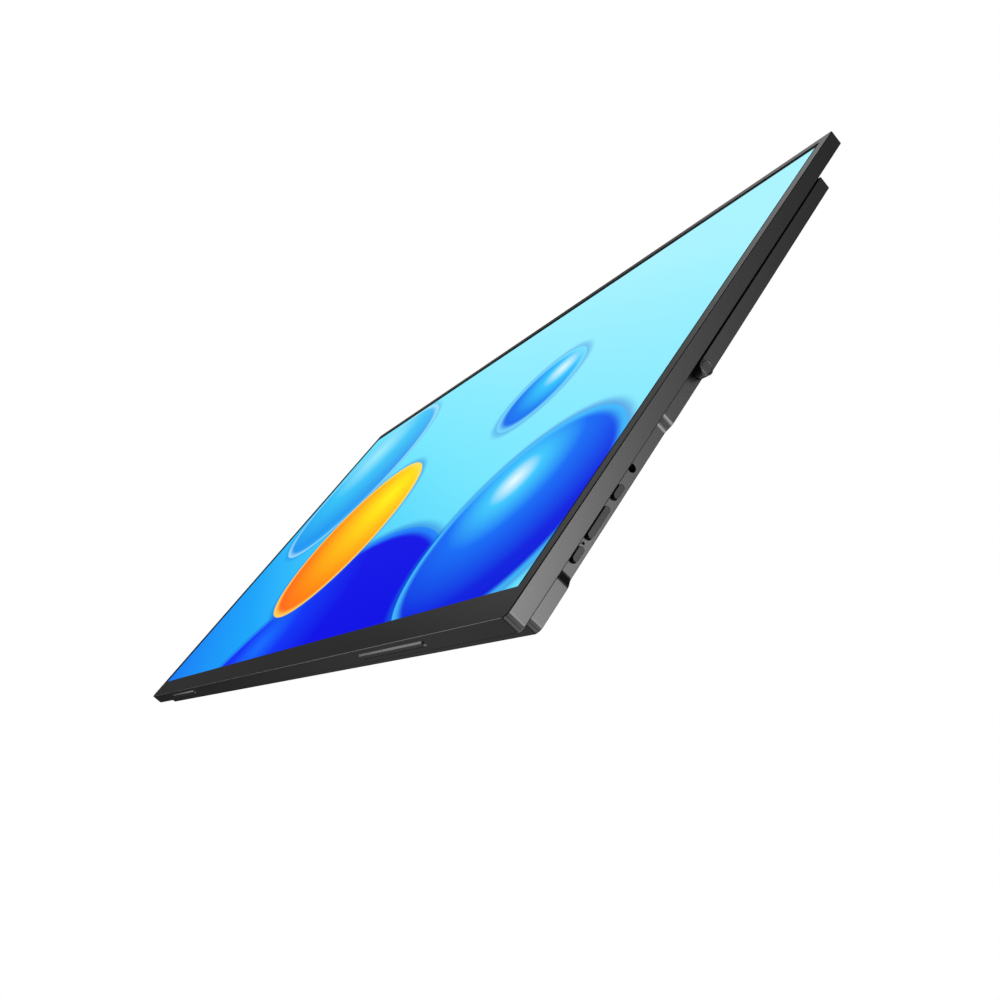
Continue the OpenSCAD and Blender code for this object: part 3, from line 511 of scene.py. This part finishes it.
# Moulded bar with round ends, sloped all round below with soft folds; rings go from its top down
def makeFoot(name, side):
    slope, turned = foot["slope"], foot["round"]
    levels = [(0, foot["high"])]
    for inset, high, start in ((turned, slope, 0), (slope, turned, 45)):
        for step in range(foot["foldSteps"] + 1):
            angle = math.radians(start + 45 * step / foot["foldSteps"])
            levels.append((inset - turned * math.cos(angle), high - turned * math.sin(angle)))
    half = foot["width"] / 2
    rings = []
    for inset, z in levels:
        ring = []
        for end, start in ((foot["to"] - half, -90), (foot["from"] + half, 90)):
            for step in range(foot["endSteps"] + 1):
                turn = math.radians(start + 180 * step / foot["endSteps"])
                ring.append((side * (end + (half - inset) * math.cos(turn)),
                             foot["middle"] + (half - inset) * math.sin(turn), z))
        rings.append(ring)
    mesh = bmesh.new()
    skin(mesh, rings)
    return addPiece(name, mesh, "foot_rubber")


for name, side in (("foot_left", -1), ("foot_right", 1)):
    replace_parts(makeFoot(name + "_bar", side), name)


print("contacts")
# Gold fingers on the tongues of the ports: x from and to, y of the tongue's faces, in mm
contacts = {
    "data_port_contacts": {
        "from": -264.6, "to": -261, "faces": (3.75, 4.45), "rows": (66.8, 84.4),
        "count": 12, "pitch": 0.5, "width": 0.28},
    "video_port_contacts": {
        "from": -264.6, "to": -256.5, "faces": (4.45, 5.35), "rows": (46.9,),
        "count": 10, "pitch": 1, "width": 0.45},
}
finger = {
    "rise": 0.05, "sink": 0.05,         # mm, above and into the tongue's face
    "nose": 0.3, "tip": 0.01,           # length of the sloped end and its height at the tip
    "draft": 0.03,                      # how much narrower each side is on top
}


# Each finger is a low bar whose outer end slopes down to the tongue
def makeContacts(name, look):
    mesh = bmesh.new()
    near, far, half = look["from"], look["to"], look["width"] / 2
    steps = ((near, finger["tip"]), (near + finger["nose"], finger["rise"]), (far, finger["rise"]))
    for face, away in zip(look["faces"], (-1, 1)):
        root = face - away * finger["sink"]
        for row in look["rows"]:
            for i in range(look["count"]):
                z = row + (i - (look["count"] - 1) / 2) * look["pitch"]
                rings = []
                for x, rise in steps:
                    top = face + away * rise
                    rings.append([(x, root, z - half), (x, top, z - half + finger["draft"]),
                                  (x, top, z + half - finger["draft"]), (x, root, z + half)])
                skin(mesh, rings, smooth=False)
    addPiece(name, mesh, "brass")


for name, look in contacts.items():
    makeContacts(name, look)


print("threads")
thread = {
    "at": ((-37.5, 50.6), (37.5, 50.6), (-37.5, 125.6), (37.5, 125.6)),     # mm
    "bore": 2, "pitch": 0.7, "depth": 0.35, "from": 3, "to": 7.2,
    "sink": 0.02,                       # how far the ridge's foot lies in the brass
    "crest": 0.45, "foot": 0.9,         # where the ridge's crest and far foot lie in one pitch
    "steps": 24,
}


# One ridge wound round each insert's bore
def makeThreads():
    mesh = bmesh.new()
    pitch, root = thread["pitch"], thread["bore"] + thread["sink"]
    profile = ((root, 0), (thread["bore"] - thread["depth"], pitch * thread["crest"]),
               (root, pitch * thread["foot"]))
    turns = (thread["to"] - thread["from"] - pitch) / pitch
    for x, z in thread["at"]:
        rings = []
        for step in range(int(turns * thread["steps"]) + 1):
            turn = 2 * math.pi * step / thread["steps"]
            y = thread["from"] + pitch * step / thread["steps"]
            rings.append([(x + radius * math.cos(turn), y + along, z + radius * math.sin(turn))
                          for radius, along in profile])
        skin(mesh, rings)
    addPiece("insert_threads", mesh, "brass")


makeThreads()


print("numbers")
# Strokes of each figure in a box 1 high; u runs along it, v up
figures = {
    "1": [(-0.2, 0.78), (0.06, 1), (0.06, 0)],
    "2": [(-0.3, 0.72), (-0.26, 0.88), (-0.12, 0.99), (0.05, 1), (0.22, 0.92), (0.29, 0.76),
          (0.25, 0.6), (0.1, 0.42), (-0.3, 0.02), (0.32, 0.02)],
}
label = {
    "size": 2.6, "line": 0.32, "low": -259.4, "back": 7.7, "ink": 0.02,     # mm
    "rows": (("1", 66.8), ("2", 84.4)),
    "sharpest": 0.5,        # keeps the line from growing too wide at a sharp turn
}


# Printed beside the data ports; a figure stands with its foot to the ports
def makeNumbers():
    mesh = bmesh.new()
    size, half = label["size"], label["line"] / 2
    for figure, row in label["rows"]:
        path = [Vector((u * size, v * size)) for u, v in figures[figure]]
        rings = []
        for i, point in enumerate(path):
            before = (point - path[i - 1]).normalized() if i else (path[1] - point).normalized()
            after = (path[i + 1] - point).normalized() if i + 1 < len(path) else before
            along = (before + after).normalized()
            across = Vector((-along.y, along.x)) * half / max(along.dot(before), label["sharpest"])
            rings.append([(label["low"] + spot.y, label["back"] + ink, row + spot.x)
                          for spot, ink in ((point + across, 0), (point + across, label["ink"]),
                                            (point - across, label["ink"]), (point - across, 0))])
        skin(mesh, rings, smooth=False)
    addPiece("port_numbers", mesh, "label_ink")


makeNumbers()


print("floor")
# Floor paint, rolled on: pale, matt and a little uneven
ground = {
    "name": "rolled_floor_paint", "colour": "#e9e9e7", "roughness": 0.8,
    "cloud": 500, "clouding": (0.97, 1.03),     # mm between clouds, darkest and lightest
    "width": 8000, "drop": 0.4,                 # mm
    "glow": 0.45,       # stands for the light that the walls throw back on the floor
}


# It only shows from above, and keeps no light from what stands on it
def makeFloorPaint():
    material, tree = newMaterial(ground["name"])
    place = addNode(tree, "ShaderNodeTexCoord").outputs["Object"]
    cloud = addNode(tree, "ShaderNodeTexNoise", {
        "Vector": place, "Scale": 1 / (ground["cloud"] * mm)})
    tone = addNode(tree, "ShaderNodeMapRange", {
        "Value": cloud.outputs["Fac"],
        "To Min": ground["clouding"][0], "To Max": ground["clouding"][1]})
    paint = addNode(tree, "ShaderNodeVectorMath", {
        0: linear(ground["colour"])[:3], "Scale": tone.outputs["Result"]}, operation="SCALE")
    matt = addNode(tree, "ShaderNodeBsdfPrincipled", {
        "Base Color": paint.outputs["Vector"], "Roughness": ground["roughness"],
        "Emission Color": paint.outputs["Vector"], "Emission Strength": ground["glow"]})
    clear = addNode(tree, "ShaderNodeBsdfTransparent")
    side = addNode(tree, "ShaderNodeNewGeometry")
    path = addNode(tree, "ShaderNodeLightPath")
    unseen = addNode(tree, "ShaderNodeMath", {
        0: 1, 1: path.outputs["Is Camera Ray"]}, operation="SUBTRACT")
    seeThrough = addNode(tree, "ShaderNodeMath", {
        0: side.outputs["Backfacing"], 1: unseen.outputs["Value"]}, operation="MAXIMUM")
    oneSided = addNode(tree, "ShaderNodeMixShader", {
        0: seeThrough.outputs["Value"], 1: matt.outputs["BSDF"], 2: clear.outputs["BSDF"]})
    addNode(tree, "ShaderNodeOutputMaterial", {"Surface": oneSided.outputs["Shader"]})
    return material


def makeFloor():
    half = ground["width"] / 2 * mm
    mesh = bpy.data.meshes.new("floor")
    mesh.from_pydata([(-half, -half, 0), (half, -half, 0), (half, half, 0), (-half, half, 0)],
                     [], [(0, 1, 2, 3)])
    mesh.materials.append(makeFloorPaint())
    floor = bpy.data.objects.new("floor", mesh)
    floor.location.z = -ground["drop"] * mm
    scene.collection.objects.link(floor)


makeFloor()


print("studio")
studio = {"sky": 0.004, "background": 1.0}      # brightness away from the panels, and behind all
# Soft panels round the object: azimuth from +x, elevation and half width in degrees, brightness
panels = [
    ("right wall", 18, 17, 22, 7.0),
    ("right wall, front", 8, 12, 22, 2.6),
    ("right wall, low", 22, 1, 22, 2.0),
    ("right wall, high", 13, 34, 22, 1.2),
    ("right rear, under", 32, -29, 22, 2.6),
    ("under right", 49, -58, 22, 1.2),
    ("under rear", 82, -63, 22, 0.9),
    ("under", 100, -80, 22, 2.0),
    ("under left", 122, -50, 22, 0.25),
    ("left rear, under", 160, -32, 22, 0.3),
    ("left, front", -170, 20, 22, 0.105),
    ("left front, low", -158, 30, 14, 0.16),
    ("left front, middle", -144, 38, 22, 0.3),
    ("left front, high", -129, 54, 22, 1.35),
    ("left front, under", -150, -21, 22, 2.6),
    ("front fill", -85, -20, 50, 0.4),
    ("rear fill", 90, -20, 50, 2.5),
]


# White to the camera, and the panels to everything else
def makeStudio():
    world = bpy.data.worlds.new("studio")
    scene.world = world
    world.use_nodes = True
    tree = world.node_tree
    tree.nodes.clear()
    ray = addNode(tree, "ShaderNodeTexCoord").outputs["Generated"]
    total = studio["sky"]
    for name, azimuth, elevation, spread, power in panels:
        turn, tilt = math.radians(azimuth), math.radians(elevation)
        facing = (math.cos(tilt) * math.cos(turn), math.cos(tilt) * math.sin(turn), math.sin(tilt))
        near = addNode(tree, "ShaderNodeVectorMath", {0: ray, 1: facing}, operation="DOT_PRODUCT")
        shine = addNode(tree, "ShaderNodeMapRange", {
            "Value": near.outputs["Value"], "From Min": math.cos(math.radians(spread)),
            "From Max": 1, "To Max": power}, interpolation_type="SMOOTHSTEP")
        total = addNode(tree, "ShaderNodeMath", {
            0: total, 1: shine.outputs["Result"]}, operation="ADD", label=name).outputs["Value"]
    path = addNode(tree, "ShaderNodeLightPath")
    soft = addNode(tree, "ShaderNodeBackground", {"Color": linear("#ffffff"), "Strength": total})
    white = addNode(tree, "ShaderNodeBackground", {
        "Color": linear("#ffffff"), "Strength": studio["background"]})
    seen = addNode(tree, "ShaderNodeMixShader", {
        0: path.outputs["Is Camera Ray"],
        1: soft.outputs["Background"], 2: white.outputs["Background"]})
    addNode(tree, "ShaderNodeOutputWorld", {"Surface": seen.outputs["Shader"]})


makeStudio()
